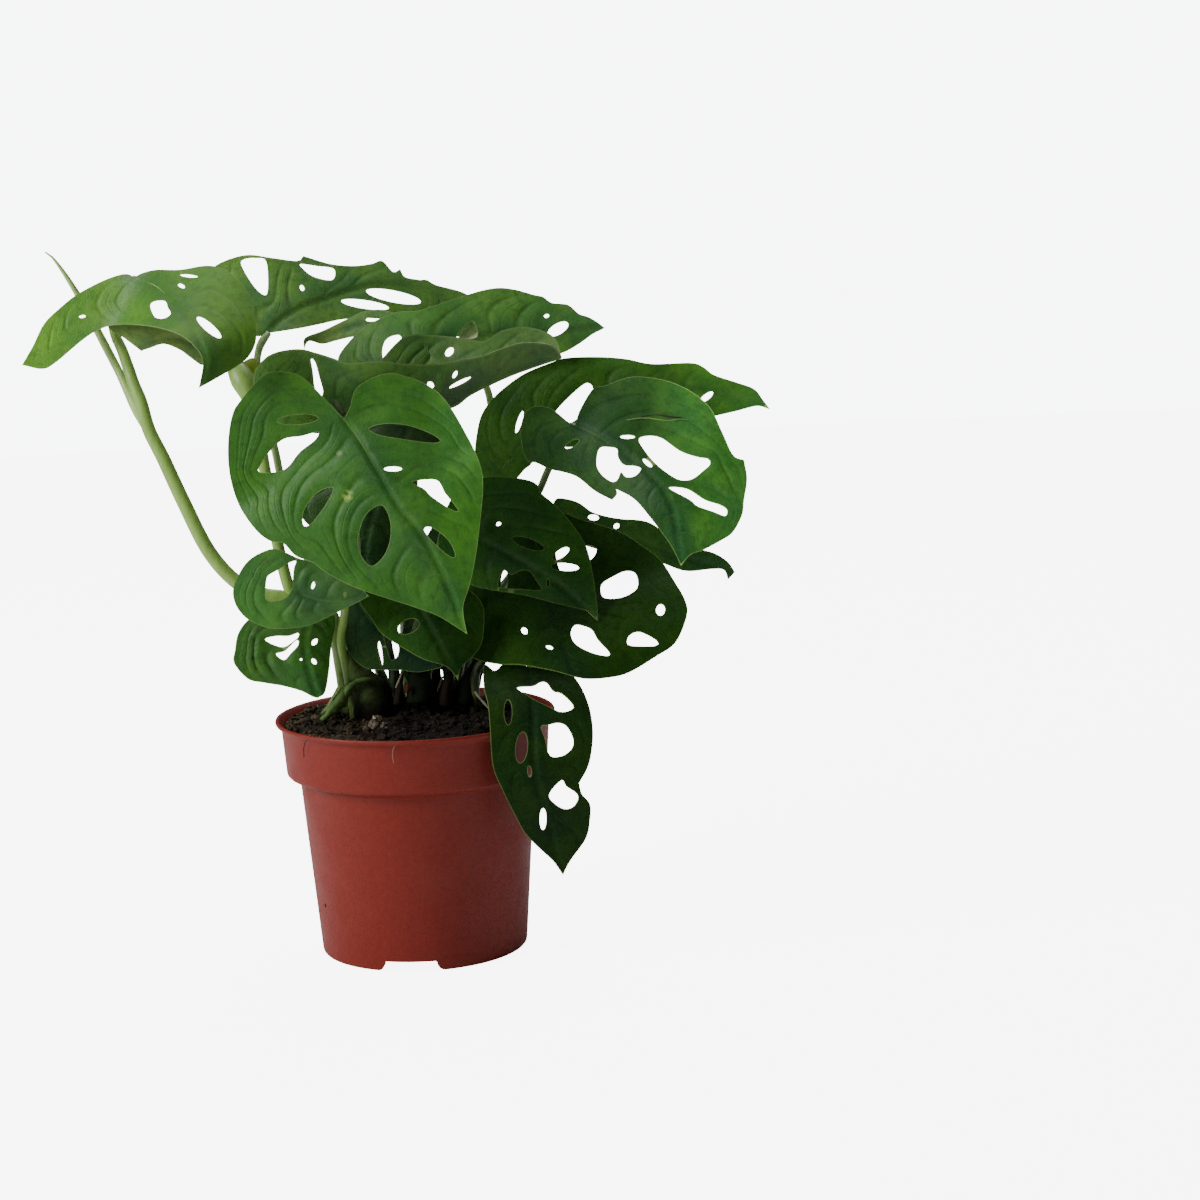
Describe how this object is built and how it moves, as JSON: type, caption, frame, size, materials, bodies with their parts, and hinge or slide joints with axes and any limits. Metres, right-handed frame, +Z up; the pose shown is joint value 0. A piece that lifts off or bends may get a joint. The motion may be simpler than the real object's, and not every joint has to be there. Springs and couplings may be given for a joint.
{
  "type": "monstera adansonii in a nursery pot",
  "caption": "Potted house plant with heart-shaped holed leaves on thin green stalks, standing in a terracotta-coloured plastic nursery pot filled with peat.",
  "frame": {"origin": "on the pot's axis, level with the underside of its foot", "axes": "+Z up along the pot's axis; -Y toward the viewer of the picture, which is the plant's front; +X to its right"},
  "size_m": [0.3212, 0.1247, 0.309],
  "materials": {
    "pot": "smooth terracotta-coloured plastic, faintly satin",
    "soil": "rough fibrous peat",
    "stalks": "smooth green plant stalk",
    "leaves_light": "glossy young leaf",
    "leaves_mid": "glossy leaf",
    "leaves_dark": "glossy dark leaf"
  },
  "bodies": {
    "root": {"pot": "pot", "soil": "soil", "leaf_front": "leaves_mid", "leaf_top_left": "leaves_light", "leaf_left_behind": "leaves_mid", "leaf_top_back": "leaves_mid", "leaf_top_small": "leaves_light", "leaf_top_right": "leaves_mid", "leaf_top_folded": "leaves_dark", "leaf_right_back": "leaves_dark", "leaf_right_front": "leaves_dark", "leaf_middle": "leaves_dark", "leaf_right_low": "leaves_dark", "leaf_right_narrow": "leaves_dark", "leaf_hanging": "leaves_dark", "leaf_left_small": "leaves_mid", "leaf_left_low": "leaves_dark", "leaf_below_front": "leaves_mid", "leaf_low_dark": "leaves_dark", "leaf_back_high": "leaves_dark", "leaf_back_right": "leaves_dark", "leaf_back_low": "leaves_dark", "stalk_front": "stalks", "stalk_top_left": "stalks", "stalk_left_behind": "stalks", "stalk_top_back": "stalks", "stalk_top_small": "stalks", "stalk_top_right": "stalks", "stalk_top_folded": "stalks", "stalk_right_back": "stalks", "stalk_right_front": "stalks", "stalk_middle": "stalks", "stalk_right_low": "stalks", "stalk_right_narrow": "stalks", "stalk_hanging": "stalks", "stalk_left_small": "stalks", "stalk_left_low": "stalks", "stalk_below_front": "stalks", "stalk_low_dark": "stalks", "stalk_back_high": "stalks", "stalk_back_right": "stalks", "stalk_back_low": "stalks"}
  },
  "joints": []
}
